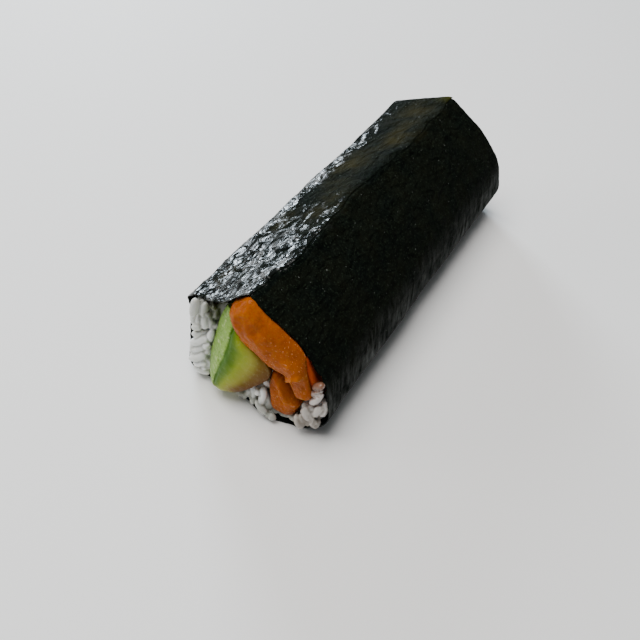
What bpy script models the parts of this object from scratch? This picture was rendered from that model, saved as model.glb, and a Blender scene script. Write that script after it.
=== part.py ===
# Hand roll: a sheet of seaweed rolled round rice, an avocado slice and three strips of salmon.
# The roll lies along Y with its open end towards -Y, and rests on its flat underside.

import math
import random

import bmesh
import bpy
import numpy as np
from mathutils import Vector
from mathutils import noise

MM = 0.001

# The sheet: half a sheet of seaweed, about 105 mm by 190 mm, rolled up the long way
ROLL_LENGTH = 104 * MM
SHEET_THICKNESS = 0.4 * MM
LAYER_PITCH = 0.72 * MM
ROLLED_TURNS = 1.64

# Corners of the roll seen from the open end, clockwise from the ridge: x, z, corner radius
RIDGE = (-2.0 * MM, 17.7 * MM, 2.6 * MM)
RIGHT_SHOULDER = (9.4 * MM, 11.4 * MM, 12 * MM)
RIGHT_FLANK = (17.9 * MM, 2.0 * MM, 13 * MM)
RIGHT_HEEL = (20.2 * MM, -8.6 * MM, 7 * MM)
RIGHT_FOOT = (14.0 * MM, -16.0 * MM, 5 * MM)
LEFT_FOOT = (-19.8 * MM, -16.0 * MM, 4 * MM)
LEFT_SHOULDER = (-19.2 * MM, 9.0 * MM, 2.0 * MM)
ROLL_CORNERS = (RIDGE, RIGHT_SHOULDER, RIGHT_FLANK, RIGHT_HEEL, RIGHT_FOOT, LEFT_FOOT, LEFT_SHOULDER)
UPPER_RIGHT_SIDE = ROLL_CORNERS.index(RIDGE)
UNDERSIDE = ROLL_CORNERS.index(RIGHT_FOOT)
TOP_SIDE = ROLL_CORNERS.index(LEFT_SHOULDER)
RESTING_LEVEL = -15.7 * MM

# The ridge wanders sideways along the roll: share of the length, sideways shift
RIDGE_DRIFT = ((0.0, -1.7 * MM), (0.16, 0.3 * MM), (0.45, -0.9 * MM), (0.7, 1.0 * MM), (1.0, 0.9 * MM))

# Soft spots and waves of the sheet
TOP_SAG = 1.1 * MM
RIGHT_DIP = 1.2 * MM
FLANK_DIP = 0.6 * MM
SAG_REACH = 14 * MM
SHEET_WAVE = 0.28 * MM
WAVE_SPACING = 17 * MM
EDGE_REACH = 12 * MM
EDGE_WANDER = 0.6 * MM
EDGE_WANDER_SPACING = 22 * MM
LOWER_LIP = 2.7 * MM
LOWER_LIP_CENTRE = 5 * MM
LOWER_LIP_WIDTH = 6 * MM
LEFT_RECESS = 0.9 * MM
CORNER_TIP = 0.7 * MM
CORNER_TIP_COLUMNS = 4
SHEET_STATIONS = 16
SHEET_ARC_DEGREES = 16
SHEET_LINE_STEP = 6 * MM

# Salmon strips, corners clockwise from the top: x, z, corner radius
UPPER_SALMON = (
    (-6.1 * MM, 13.9 * MM, 2.2 * MM),
    (-2.6 * MM, 15.3 * MM, 2.2 * MM),
    (8.0 * MM, 8.2 * MM, 6.0 * MM),
    (12.8 * MM, -0.4 * MM, 1.8 * MM),
    (10.4 * MM, -4.4 * MM, 1.6 * MM),
    (5.2 * MM, 2.2 * MM, 4.0 * MM),
    (-6.7 * MM, 9.4 * MM, 2.6 * MM),
)
LOWER_SALMON = (
    (4.7 * MM, 1.8 * MM, 0.8 * MM),
    (9.8 * MM, -5.0 * MM, 1.2 * MM),
    (12.4 * MM, -6.2 * MM, 1.2 * MM),
    (10.4 * MM, -12.2 * MM, 2.6 * MM),
    (5.2 * MM, -12.0 * MM, 2.4 * MM),
    (4.2 * MM, -4.6 * MM, 4.0 * MM),
)
SIDE_SALMON = (
    (10.9 * MM, 5.6 * MM, 0.4 * MM),
    (12.0 * MM, 5.4 * MM, 0.4 * MM),
    (15.5 * MM, -0.4 * MM, 2.0 * MM),
    (16.0 * MM, -4.6 * MM, 0.6 * MM),
    (14.4 * MM, -4.4 * MM, 0.6 * MM),
    (13.9 * MM, -0.6 * MM, 1.5 * MM),
)
SALMON_ARC_DEGREES = 30
SALMON_LINE_STEP = 5 * MM
SALMON_STATIONS = 5
SALMON_ROUNDING = 1.3 * MM
SALMON_ROUNDING_INSET = 0.6 * MM
SALMON_TAPER = 0.9
UPPER_SALMON_FRONT = -3.2 * MM
UPPER_SALMON_SETBACK = 2.8 * MM
UPPER_SALMON_SETBACK_START = 3 * MM
UPPER_SALMON_SETBACK_REACH = 12 * MM
UPPER_SALMON_SLOPE = 2.2 * MM
UPPER_SALMON_SLOPE_START = 6 * MM
UPPER_SALMON_SLOPE_REACH = 6 * MM
UPPER_SALMON_ACROSS = Vector((0.6, 0.8))
LOWER_SALMON_FRONT = -2.6 * MM
SIDE_SALMON_FRONT = -0.5 * MM
FILLING_BACK = ROLL_LENGTH - 0.8 * MM

# Avocado slice from its upper tip down: height, x of its left side, front edge and right side,
# then how far the left side, the edge and the right side stand out of the roll
AVOCADO_LEVELS = (
    (11.6 * MM, -8.8 * MM, -8.2 * MM, -7.7 * MM, 0.3 * MM, 0.8 * MM, 0.7 * MM),
    (9.3 * MM, -9.8 * MM, -7.8 * MM, -7.3 * MM, 0.0 * MM, 2.0 * MM, 1.9 * MM),
    (6.2 * MM, -10.6 * MM, -6.0 * MM, -2.9 * MM, 0.3 * MM, 3.4 * MM, 2.4 * MM),
    (3.0 * MM, -11.2 * MM, -6.3 * MM, 2.4 * MM, 0.6 * MM, 4.0 * MM, 2.4 * MM),
    (0.0 * MM, -11.7 * MM, -6.7 * MM, 3.8 * MM, 1.0 * MM, 4.3 * MM, 2.7 * MM),
    (-3.0 * MM, -12.0 * MM, -7.3 * MM, 3.0 * MM, 1.3 * MM, 4.6 * MM, 3.2 * MM),
    (-6.0 * MM, -12.0 * MM, -8.0 * MM, 0.9 * MM, 1.8 * MM, 4.8 * MM, 3.8 * MM),
    (-9.0 * MM, -11.8 * MM, -8.7 * MM, -1.7 * MM, 2.3 * MM, 4.8 * MM, 4.1 * MM),
    (-11.3 * MM, -11.1 * MM, -8.9 * MM, -4.2 * MM, 2.7 * MM, 4.5 * MM, 4.0 * MM),
    (-12.7 * MM, -10.0 * MM, -8.6 * MM, -6.6 * MM, 3.0 * MM, 3.7 * MM, 3.5 * MM),
)
AVOCADO_BULGE = 0.35 * MM
AVOCADO_STATIONS = 4

# Rice: a core inside the roll, with whole grains where it shows at the two ends
RICE_CORE = (
    (-3.0 * MM, 14.2 * MM, 1.5 * MM),
    (8.0 * MM, 8.6 * MM, 6.0 * MM),
    (15.4 * MM, -0.5 * MM, 8.0 * MM),
    (16.9 * MM, -8.6 * MM, 5.0 * MM),
    (12.4 * MM, -14.05 * MM, 3.5 * MM),
    (-17.4 * MM, -14.05 * MM, 2.5 * MM),
    (-17.0 * MM, 7.3 * MM, 1.5 * MM),
)
RICE_ARC_DEGREES = 45
RICE_LINE_STEP = 40 * MM
RICE_CORE_FRONT = 1.3 * MM
RICE_CORE_BACK = ROLL_LENGTH - 2.0 * MM
FILLING_CLEARANCE = 0.35 * MM
POCKET_CENTRE = (-10.4 * MM, 0.4 * MM, 8.6 * MM)
POCKET_RADII = (2.4 * MM, 4.2 * MM, 3.2 * MM)
GRAIN_LENGTH = 5.6 * MM
GRAIN_WIDTH = 2.5 * MM
GRAIN_SIDES = 5
GRAIN_RINGS = 3
GRAIN_LEAN = 0.55
GRAIN_SPACING = 1.6 * MM
GRAIN_SCATTER = 0.5 * MM
GRAIN_SEAT = 0.7 * MM
FRONT_BULGE = 1.1 * MM
BACK_BULGE = -0.5 * MM
RICE_BULGE_REACH = 5 * MM
GRAIN_TRIES = 9000
GRAIN_HEADINGS = 7
GRAIN_FIELD_X = (-19 * MM, 19 * MM)
GRAIN_FIELD_Z = (-16 * MM, 15 * MM)
FRONT_GRAINS = 70
BACK_GRAINS = 56
SEED = 17

SEAWEED_COLOUR = (0.012, 0.018, 0.013, 1.0)
RICE_COLOUR = (0.72, 0.71, 0.66, 1.0)
AVOCADO_COLOUR = (0.38, 0.50, 0.13, 1.0)
SALMON_COLOUR = (0.62, 0.17, 0.03, 1.0)


def clear_scene():
    for item in list(bpy.data.objects):
        bpy.data.objects.remove(item, do_unlink=True)


def make_material(name, colour, roughness):
    material = bpy.data.materials.new(name)
    material.use_nodes = True
    shader = material.node_tree.nodes["Principled BSDF"]
    shader.inputs["Base Color"].default_value = colour
    shader.inputs["Roughness"].default_value = roughness
    shader.inputs["Metallic"].default_value = 0.0
    return material


def make_object(name, builder, material=None, collection=None):
    mesh = bpy.data.meshes.new(name)
    bmesh.ops.recalc_face_normals(builder, faces=builder.faces[:])
    builder.to_mesh(mesh)
    builder.free()
    mesh.shade_smooth()
    mesh.set_sharp_from_angle(angle=math.radians(40))
    if material:
        mesh.materials.append(material)
    item = bpy.data.objects.new(name, mesh)
    (collection or bpy.context.scene.collection).objects.link(item)
    return item


def ease(value):
    value = min(max(value, 0.0), 1.0)
    return value * value * (3.0 - 2.0 * value)


def ridge_drift(along):
    """Sideways shift of the ridge at a place along the roll, eased between the stated places."""
    share = min(max(along / ROLL_LENGTH, 0.0), 1.0)
    for (start, before), (end, after) in zip(RIDGE_DRIFT, RIDGE_DRIFT[1:]):
        if share <= end:
            return before + (after - before) * ease((share - start) / (end - start))
    return RIDGE_DRIFT[-1][1]


def corner_turns(corners):
    """For each corner: its place, both headings, the turn between them and the length the arc cuts off."""
    places = [Vector(corner[:2]) for corner in corners]
    turns = []
    for number, place in enumerate(places):
        arriving = (place - places[number - 1]).normalized()
        leaving = (places[(number + 1) % len(places)] - place).normalized()
        turn = math.atan2(arriving.x * leaving.y - arriving.y * leaving.x, arriving.dot(leaving))
        cut = corners[number][2] * math.tan(abs(turn) / 2)
        turns.append((place, arriving, leaving, turn, cut))
    return turns


def outline_steps(corners, arc_degrees, line_step):
    """How many steps each corner's arc and the straight side after it take."""
    turns = corner_turns(corners)
    steps = []
    for number, (place, _, _, turn, cut) in enumerate(turns):
        following = turns[(number + 1) % len(turns)]
        straight = (following[0] - place).length - cut - following[4]
        arc_steps = max(2, math.ceil(abs(math.degrees(turn)) / arc_degrees))
        steps.append((arc_steps, max(1, round(straight / line_step))))
    return steps


def rounded_outline(corners, steps):
    """Clockwise outline with round corners: point, outward direction, side number and share of the side.

    Side 0 follows the first corner. The share is None on a corner's arc.
    """
    turns = corner_turns(corners)
    samples = []
    for number, (place, arriving, leaving, turn, cut) in enumerate(turns):
        arc_steps, line_steps = steps[number]
        heading = math.atan2(arriving.y, arriving.x)
        reach = math.copysign(corners[number][2], turn)
        centre = place - arriving * cut + Vector((-arriving.y, arriving.x)) * reach
        for step in range(arc_steps + 1):
            angle = heading + turn * step / arc_steps
            outward = Vector((-math.sin(angle), math.cos(angle)))
            samples.append((centre - outward * reach, outward, number, None))
        following = turns[(number + 1) % len(turns)]
        line_start = place + leaving * cut
        line_end = following[0] - leaving * following[4]
        outward = Vector((-leaving.y, leaving.x))
        for step in range(1, line_steps):
            share = step / line_steps
            samples.append((line_start.lerp(line_end, share), outward, number, share))
    return samples


def roll_outline(along, steps):
    """Outer outline of the roll at a place along Y, with the sag, the dip and the waves in it."""
    ridge = (RIDGE[0] + ridge_drift(along), RIDGE[1], RIDGE[2])
    softness = math.exp(-max(along, 0.0) / SAG_REACH)
    samples = []
    for point, outward, side, share in rounded_outline((ridge,) + ROLL_CORNERS[1:], steps):
        middle = 0.0 if share is None else math.sin(math.pi * share)
        shift = 0.0
        if side == TOP_SIDE:
            shift -= TOP_SAG * softness * middle
        if side == UPPER_RIGHT_SIDE:
            shift -= RIGHT_DIP * softness * middle
        if side == UPPER_RIGHT_SIDE + 1:
            shift -= FLANK_DIP * softness * middle
        if side not in (UNDERSIDE, UNDERSIDE + 1):
            shift += 2 * SHEET_WAVE * noise.noise(Vector((point.x, along, point.y)) / WAVE_SPACING)
        samples.append((point + outward * shift, outward))
    return samples


def front_edge(place):
    """How far forward of the roll's front plane the sheet's edge stands, as a place along Y."""
    across = (place.x - LOWER_LIP_CENTRE) / LOWER_LIP_WIDTH
    lip = LOWER_LIP * math.exp(-across * across) * ease((-6 * MM - place.y) / (8 * MM))
    recess = LEFT_RECESS * ease((-14 * MM - place.x) / (4 * MM)) * ease((12 * MM - abs(place.y + 3 * MM)) / (8 * MM))
    return recess - lip


def edge_shift(place, along):
    """How far the sheet is drawn along the roll near its two end edges, nothing in the middle."""
    nearness = ease(1.0 - min(along, ROLL_LENGTH - along) / EDGE_REACH)
    shift = 2 * EDGE_WANDER * noise.noise(Vector((place.x, place.y, along)) / EDGE_WANDER_SPACING)
    if along < ROLL_LENGTH / 2:
        shift += front_edge(place)
    return shift * nearness


def build_sheet(material):
    """The seaweed: one sheet rolled inwards from its free edge on the ridge, then given its thickness."""
    steps = outline_steps(ROLL_CORNERS, SHEET_ARC_DEGREES, SHEET_LINE_STEP)
    crest = steps[0][0] // 2
    builder = bmesh.new()
    rows = []
    for station in range(SHEET_STATIONS + 1):
        along = ROLL_LENGTH * station / SHEET_STATIONS
        samples = roll_outline(along, steps)
        last = round(ROLLED_TURNS * len(samples))
        row = []
        for number in range(last + 1):
            to_free_edge = last - number
            point, outward = samples[(crest - to_free_edge) % len(samples)]
            place = point - outward * LAYER_PITCH * to_free_edge / len(samples)
            if outward.y < -0.999 and to_free_edge < len(samples):
                place.y = RESTING_LEVEL
            shift = edge_shift(place, along)
            if station == SHEET_STATIONS:
                shift += CORNER_TIP * ease(1.0 - to_free_edge / CORNER_TIP_COLUMNS)
            row.append(builder.verts.new((place.x, along + shift, place.y)))
        rows.append(row)
    for row, following in zip(rows, rows[1:]):
        for number in range(len(row) - 1):
            builder.faces.new((row[number], row[number + 1], following[number + 1], following[number]))
    sheet = make_object("nori_wrap", builder, material)
    shell = sheet.modifiers.new("Thickness", "SOLIDIFY")
    shell.thickness = SHEET_THICKNESS
    shell.offset = -1.0
    return sheet


def close_loops(builder, loops):
    """Joins closed loops of points into one body, with a flat face on the first and on the last."""
    made = [[builder.verts.new(place) for place in loop] for loop in loops]
    for loop, following in zip(made, made[1:]):
        for number in range(len(loop)):
            beside = (number + 1) % len(loop)
            builder.faces.new((loop[number], loop[beside], following[beside], following[number]))
    builder.faces.new(made[0])
    builder.faces.new(made[-1])


def build_strip(name, corners, front, material):
    """A salmon strip along the whole roll with a rounded front end; front gives that end's place."""
    samples = rounded_outline(corners, outline_steps(corners, SALMON_ARC_DEGREES, SALMON_LINE_STEP))
    loops = []
    for swing in (math.pi / 2, math.pi / 4, 0.0):
        inset = SALMON_ROUNDING_INSET * (1.0 - math.cos(swing))
        setback = SALMON_ROUNDING * (1.0 - math.sin(swing))
        rim = [point - outward * inset for point, outward, _, _ in samples]
        loops.append([(point.x, front(point) + setback, point.y) for point in rim])
    middle = sum((sample[0] for sample in samples), Vector((0.0, 0.0))) / len(samples)
    for station in range(1, SALMON_STATIONS + 1):
        along = FILLING_BACK * station / SALMON_STATIONS
        ring = [middle.lerp(sample[0], SALMON_TAPER) for sample in samples]
        loops.append([(point.x, along, point.y) for point in ring])
    builder = bmesh.new()
    close_loops(builder, loops)
    return make_object(name, builder, material)


def upper_salmon_front(point):
    """The upper strip stands out most at its lower left edge, and least at its tip under the ridge."""
    climb = (point.y - UPPER_SALMON_SETBACK_START) / UPPER_SALMON_SETBACK_REACH
    across = (point.dot(UPPER_SALMON_ACROSS) - UPPER_SALMON_SLOPE_START) / UPPER_SALMON_SLOPE_REACH
    setback = max(UPPER_SALMON_SETBACK * ease(climb), UPPER_SALMON_SLOPE * ease(across))
    return UPPER_SALMON_FRONT + setback


def build_salmon(material):
    build_strip("salmon_upper", UPPER_SALMON, upper_salmon_front, material)
    build_strip("salmon_lower", LOWER_SALMON, lambda point: LOWER_SALMON_FRONT, material)
    build_strip("salmon_side", SIDE_SALMON, lambda point: SIDE_SALMON_FRONT, material)


def build_avocado(material):
    """The avocado slice, stacked from level loops that each run round its whole length."""
    loops = []
    for height, left, edge, right, left_out, edge_out, right_out in AVOCADO_LEVELS:
        loop = []
        for station in range(AVOCADO_STATIONS + 1):
            share = station / AVOCADO_STATIONS
            loop.append((left, FILLING_BACK - (FILLING_BACK + left_out) * share, height))
        left_middle = (left_out + edge_out) / 2 + AVOCADO_BULGE
        right_middle = (right_out + edge_out) / 2 + AVOCADO_BULGE
        loop.append(((left + edge) / 2, -left_middle, height))
        loop.append((edge, -edge_out, height))
        loop.append(((right + edge) / 2, -right_middle, height))
        for station in range(AVOCADO_STATIONS + 1):
            share = station / AVOCADO_STATIONS
            loop.append((right, -right_out + (FILLING_BACK + right_out) * share, height))
        loops.append(loop)
    builder = bmesh.new()
    close_loops(builder, loops)
    return make_object("avocado", builder, material)


def filling_outlines():
    """The outlines of the avocado and of the salmon strips, as lists of points."""
    left_side = [Vector((level[1], level[0])) for level in reversed(AVOCADO_LEVELS)]
    right_side = [Vector((level[3], level[0])) for level in AVOCADO_LEVELS]
    outlines = [left_side + right_side]
    for corners in (UPPER_SALMON, LOWER_SALMON, SIDE_SALMON):
        samples = rounded_outline(corners, outline_steps(corners, SALMON_ARC_DEGREES, SALMON_LINE_STEP))
        outlines.append([sample[0] for sample in samples])
    return outlines


def outline_distances(outline, places):
    """Distance from each place to an outline, negative inside it."""
    starts = np.array(outline)
    ends = np.roll(starts, -1, axis=0)
    sides = ends - starts
    points = np.array(places)[:, None, :]
    reach = ((points - starts) * sides).sum(axis=2) / (sides * sides).sum(axis=1)
    nearest = starts + sides * np.clip(reach, 0.0, 1.0)[:, :, None]
    distances = np.linalg.norm(points - nearest, axis=2).min(axis=1)
    spans = (starts[:, 1] > points[:, :, 1]) != (ends[:, 1] > points[:, :, 1])
    rise = np.where(sides[:, 1] == 0.0, 1.0, sides[:, 1])
    crossings = starts[:, 0] + sides[:, 0] * (points[:, :, 1] - starts[:, 1]) / rise
    inside = (spans & (points[:, :, 0] < crossings)).sum(axis=1) % 2 == 1
    return np.where(inside, -distances, distances)


def grown_outline(outline, growth):
    """A clockwise outline moved outwards, each corner along the middle of its two sides' directions."""
    grown = []
    for number, place in enumerate(outline):
        arriving = (place - outline[number - 1]).normalized()
        leaving = (outline[(number + 1) % len(outline)] - place).normalized()
        heading = (arriving + leaving).normalized()
        stretch = 1.0 / max(heading.dot(leaving), 0.5)
        grown.append(place + Vector((-heading.y, heading.x)) * growth * stretch)
    return grown


def build_prism(name, outline, front, back, collection=None):
    """A plain closed prism along Y on an outline."""
    builder = bmesh.new()
    close_loops(builder, [[(place.x, along, place.y) for place in outline] for along in (front, back)])
    return make_object(name, builder, collection=collection)


def grain_points(centre, heading, roll_angle):
    """The corners of one grain: two tips and rings between them, fullest in the middle."""
    turn = heading.to_track_quat("Z", "Y").to_matrix()
    rings = []
    for ring in range(1, GRAIN_RINGS + 1):
        climb = math.pi * ring / (GRAIN_RINGS + 1)
        height = -GRAIN_LENGTH / 2 * math.cos(climb)
        girth = GRAIN_WIDTH / 2 * math.sin(climb) ** 0.7
        circle = []
        for side in range(GRAIN_SIDES):
            angle = math.tau * side / GRAIN_SIDES + roll_angle
            circle.append(centre + turn @ Vector((girth * math.cos(angle), girth * math.sin(angle), height)))
        rings.append(circle)
    tips = [centre - heading * GRAIN_LENGTH / 2, centre + heading * GRAIN_LENGTH / 2]
    return tips, rings


def build_grain(name, tips, rings, collection):
    builder = bmesh.new()
    circles = [[builder.verts.new(place) for place in ring] for ring in rings]
    bottom, top = [builder.verts.new(place) for place in tips]
    for number in range(GRAIN_SIDES):
        beside = (number + 1) % GRAIN_SIDES
        builder.faces.new((bottom, circles[0][beside], circles[0][number]))
        builder.faces.new((top, circles[-1][number], circles[-1][beside]))
        for circle, following in zip(circles, circles[1:]):
            builder.faces.new((circle[number], circle[beside], following[beside], following[number]))
    return make_object(name, builder, collection=collection)


def grain_fits(corners, end_place, outward_sign, sheet_inside, sheet_outside, fillings):
    """Whether a grain keeps clear of the fillings, and of the sheet or stands in front of its edge."""
    flat = [(corner.x, corner.z) for corner in corners]
    if any(outline_distances(filling, flat).min() < FILLING_CLEARANCE for filling in fillings):
        return False
    edges = [end_place + (front_edge(Vector(place)) if outward_sign < 0 else 0.0) for place in flat]
    ahead = [(corner.y - edge) * outward_sign for corner, edge in zip(corners, edges)]
    in_front = np.array(ahead) > EDGE_WANDER + FILLING_CLEARANCE
    overhang = np.where(in_front, outline_distances(sheet_outside, flat), outline_distances(sheet_inside, flat))
    return overhang.max() <= 0.0


def place_grains(collection, draw, end_place, outward_sign, bulge, wanted, fillings):
    """Scatters grains over the rice at one end of the roll, trying a few headings at each place."""
    steps = outline_steps(ROLL_CORNERS, SHEET_ARC_DEGREES, SHEET_LINE_STEP)
    outline = roll_outline(end_place, steps)
    sheet_depth = LAYER_PITCH * ROLLED_TURNS + SHEET_THICKNESS + FILLING_CLEARANCE
    sheet_inside = [point - outward * sheet_depth for point, outward in outline]
    sheet_outside = [point - outward * FILLING_CLEARANCE for point, outward in outline]
    centres = []
    for _ in range(GRAIN_TRIES):
        if len(centres) == wanted:
            break
        flat = Vector((draw.uniform(*GRAIN_FIELD_X), draw.uniform(*GRAIN_FIELD_Z)))
        scatter = draw.uniform(-1, 1) * GRAIN_SCATTER
        if min(outline_distances(filling, [flat])[0] for filling in fillings) < GRAIN_WIDTH / 2:
            continue
        inside = -outline_distances(sheet_outside, [flat])[0]
        if inside < GRAIN_WIDTH / 2:
            continue
        out = bulge * ease(inside / RICE_BULGE_REACH) + scatter - GRAIN_SEAT
        edge = end_place + (front_edge(flat) if outward_sign < 0 else 0.0)
        centre = Vector((flat.x, edge + outward_sign * out, flat.y))
        if any((centre - other).length < GRAIN_SPACING for other in centres):
            continue
        for _ in range(GRAIN_HEADINGS):
            lean = draw.uniform(-1, 1) * GRAIN_LEAN
            heading = Vector((draw.uniform(-1, 1), lean, draw.uniform(-1, 1))).normalized()
            tips, rings = grain_points(centre, heading, draw.uniform(0.0, math.tau))
            if grain_fits(sum(rings, tips), end_place, outward_sign, sheet_inside, sheet_outside, fillings):
                build_grain(f"grain_{len(collection.objects)}", tips, rings, collection)
                centres.append(centre)
                break


def cut_away(item, cutters):
    """Cuts the cutters out of an object for good and removes them."""
    for cutter in cutters:
        cut = item.modifiers.new(cutter.name, "BOOLEAN")
        cut.operation = "DIFFERENCE"
        cut.object = cutter
    bake_modifiers(item)
    for cutter in cutters:
        bpy.data.objects.remove(cutter, do_unlink=True)


def bake_modifiers(item):
    bpy.context.view_layer.update()
    evaluated = item.evaluated_get(bpy.context.evaluated_depsgraph_get())
    baked = bpy.data.meshes.new_from_object(evaluated)
    item.modifiers.clear()
    item.data = baked


def keep_largest_shell(item):
    """Fills sealed hollows and drops loose scraps by keeping the outer shell alone."""
    builder = bmesh.new()
    builder.from_mesh(item.data)
    unseen = set(builder.verts)
    shells = []
    while unseen:
        reached = {unseen.pop()}
        front = list(reached)
        while front:
            place = front.pop()
            for edge in place.link_edges:
                other = edge.other_vert(place)
                if other in unseen:
                    unseen.discard(other)
                    reached.add(other)
                    front.append(other)
        shells.append(reached)
    largest = max(shells, key=len)
    scraps = [place for place in builder.verts if place not in largest]
    bmesh.ops.delete(builder, geom=scraps, context="VERTS")
    builder.to_mesh(item.data)
    builder.free()


def build_rice(material):
    """The rice: a core with room for the fillings, and grains fused on where it shows."""
    outline = [sample[0] for sample in rounded_outline(
        RICE_CORE, outline_steps(RICE_CORE, RICE_ARC_DEGREES, RICE_LINE_STEP))]
    rice = build_prism("rice", outline, RICE_CORE_FRONT, RICE_CORE_BACK)
    fillings = filling_outlines()
    cutters = []
    for number, filling in enumerate(fillings):
        room = grown_outline(filling, FILLING_CLEARANCE)
        cutters.append(build_prism(f"room_{number}", room, -ROLL_LENGTH, 2 * ROLL_LENGTH))
    pocket = bmesh.new()
    bmesh.ops.create_icosphere(pocket, subdivisions=2, radius=1.0)
    bmesh.ops.scale(pocket, verts=pocket.verts, vec=POCKET_RADII)
    bmesh.ops.translate(pocket, verts=pocket.verts, vec=POCKET_CENTRE)
    cutters.append(make_object("pocket", pocket))
    cut_away(rice, cutters)
    grains = bpy.data.collections.new("grains")
    bpy.context.scene.collection.children.link(grains)
    draw = random.Random(SEED)
    place_grains(grains, draw, 0.0, -1.0, FRONT_BULGE, FRONT_GRAINS, fillings)
    place_grains(grains, draw, ROLL_LENGTH, 1.0, BACK_BULGE, BACK_GRAINS, fillings)
    fuse = rice.modifiers.new("Fuse", "BOOLEAN")
    fuse.operation = "UNION"
    fuse.operand_type = "COLLECTION"
    fuse.collection = grains
    bake_modifiers(rice)
    for grain in list(grains.objects):
        bpy.data.objects.remove(grain, do_unlink=True)
    bpy.data.collections.remove(grains)
    keep_largest_shell(rice)
    rice.data.materials.clear()
    rice.data.materials.append(material)


def settle_in_frame():
    """Moves the roll so that it stands centred on the origin with its underside at height zero."""
    bpy.context.view_layer.update()
    graph = bpy.context.evaluated_depsgraph_get()
    places = []
    for item in bpy.context.scene.objects:
        mesh = item.evaluated_get(graph).to_mesh()
        places.extend(vertex.co.copy() for vertex in mesh.vertices)
        item.evaluated_get(graph).to_mesh_clear()
    low = [min(place[axis] for place in places) for axis in range(3)]
    high = [max(place[axis] for place in places) for axis in range(3)]
    shift = Vector((-(low[0] + high[0]) / 2, -(low[1] + high[1]) / 2, -low[2]))
    for item in bpy.context.scene.objects:
        for vertex in item.data.vertices:
            vertex.co += shift


def main():
    clear_scene()
    build_sheet(make_material("nori", SEAWEED_COLOUR, 0.5))
    build_rice(make_material("rice", RICE_COLOUR, 0.45))
    build_avocado(make_material("avocado", AVOCADO_COLOUR, 0.45))
    build_salmon(make_material("salmon", SALMON_COLOUR, 0.3))
    settle_in_frame()


main()
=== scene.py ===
import math
import random

import bpy
import numpy as np
from mathutils import Matrix, Vector, kdtree, noise


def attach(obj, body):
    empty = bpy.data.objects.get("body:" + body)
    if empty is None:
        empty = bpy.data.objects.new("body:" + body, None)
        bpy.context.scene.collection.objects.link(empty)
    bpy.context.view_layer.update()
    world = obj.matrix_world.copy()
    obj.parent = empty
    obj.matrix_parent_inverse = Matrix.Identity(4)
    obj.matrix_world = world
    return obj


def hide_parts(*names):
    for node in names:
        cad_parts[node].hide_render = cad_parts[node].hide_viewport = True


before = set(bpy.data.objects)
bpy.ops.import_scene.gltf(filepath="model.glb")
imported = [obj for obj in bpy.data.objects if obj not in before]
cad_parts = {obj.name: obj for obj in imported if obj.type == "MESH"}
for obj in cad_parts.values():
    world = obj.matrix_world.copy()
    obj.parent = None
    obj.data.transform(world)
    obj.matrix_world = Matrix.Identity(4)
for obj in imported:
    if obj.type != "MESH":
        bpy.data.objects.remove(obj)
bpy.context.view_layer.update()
print("frame loaded")

mm = 0.001

# measures are in mm round the roll's own axis, with y from the open end
# the seat moves them into the frame
rollSeat = Vector((0.085, -50.408, 15.7))
rollLength = 104.0


def toFrame(point):
    return (Vector(point) + rollSeat) * mm


def ease(value):
    value = min(max(value, 0.0), 1.0)
    return value * value * (3.0 - 2.0 * value)


def readTable(table, value):
    # read off a table of (place, value) pairs, eased between them
    if value <= table[0][0]:
        return table[0][1]
    for (start, before), (end, after) in zip(table, table[1:]):
        if value <= end:
            return before + (after - before) * ease((value - start) / (end - start))
    return table[-1][1]


def pickOnly(piece):
    if bpy.context.object and bpy.context.object.mode != "OBJECT":
        bpy.ops.object.mode_set(mode="OBJECT")
    bpy.ops.object.select_all(action="DESELECT")
    piece.select_set(True)
    bpy.context.view_layer.objects.active = piece


def addModifier(piece, kind, **settings):
    # put a modifier on, set it and apply it at once
    pickOnly(piece)
    bpy.ops.object.modifier_add(type=kind)
    modifier = piece.modifiers[-1]
    for setting, value in settings.items():
        setattr(modifier, setting, value)
    bpy.ops.object.modifier_apply(modifier=modifier.name)


def setPoints(piece, points):
    piece.data.vertices.foreach_set("co", [value for point in points for value in toFrame(point)])
    piece.data.update()


def setAttribute(piece, name, values):
    made = piece.data.attributes.new(name, "FLOAT", "POINT")
    made.data.foreach_set("value", values)


def gridCells(name, columns, rows):
    # a flat grid to be shaped, with the column and row of each of its points
    bpy.ops.object.select_all(action="DESELECT")
    bpy.ops.mesh.primitive_grid_add(x_subdivisions=columns, y_subdivisions=rows, size=2)
    piece = bpy.context.object
    piece.name = name
    piece.data.name = name
    cells = [(round((vertex.co.x + 1) / 2 * columns), round((vertex.co.y + 1) / 2 * rows))
             for vertex in piece.data.vertices]
    return piece, cells


def editAll(piece):
    # edit mode with the whole piece selected
    pickOnly(piece)
    bpy.ops.object.mode_set(mode="EDIT")
    bpy.ops.mesh.select_all(action="SELECT")


def tidyNormals(piece):
    editAll(piece)
    bpy.ops.mesh.normals_make_consistent(inside=False)
    bpy.ops.object.mode_set(mode="OBJECT")
    bpy.ops.object.shade_smooth()


def cornerTurns(corners):
    # each corner's place, the ways in and out of it, its turn and how much its arc cuts off
    places = [Vector(corner[:2]) for corner in corners]
    turns = []
    for number, place in enumerate(places):
        arriving = (place - places[number - 1]).normalized()
        leaving = (places[(number + 1) % len(places)] - place).normalized()
        turn = math.atan2(arriving.x * leaving.y - arriving.y * leaving.x, arriving.dot(leaving))
        turns.append((place, arriving, leaving, turn, corners[number][2] * math.tan(abs(turn) / 2)))
    return turns


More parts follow.
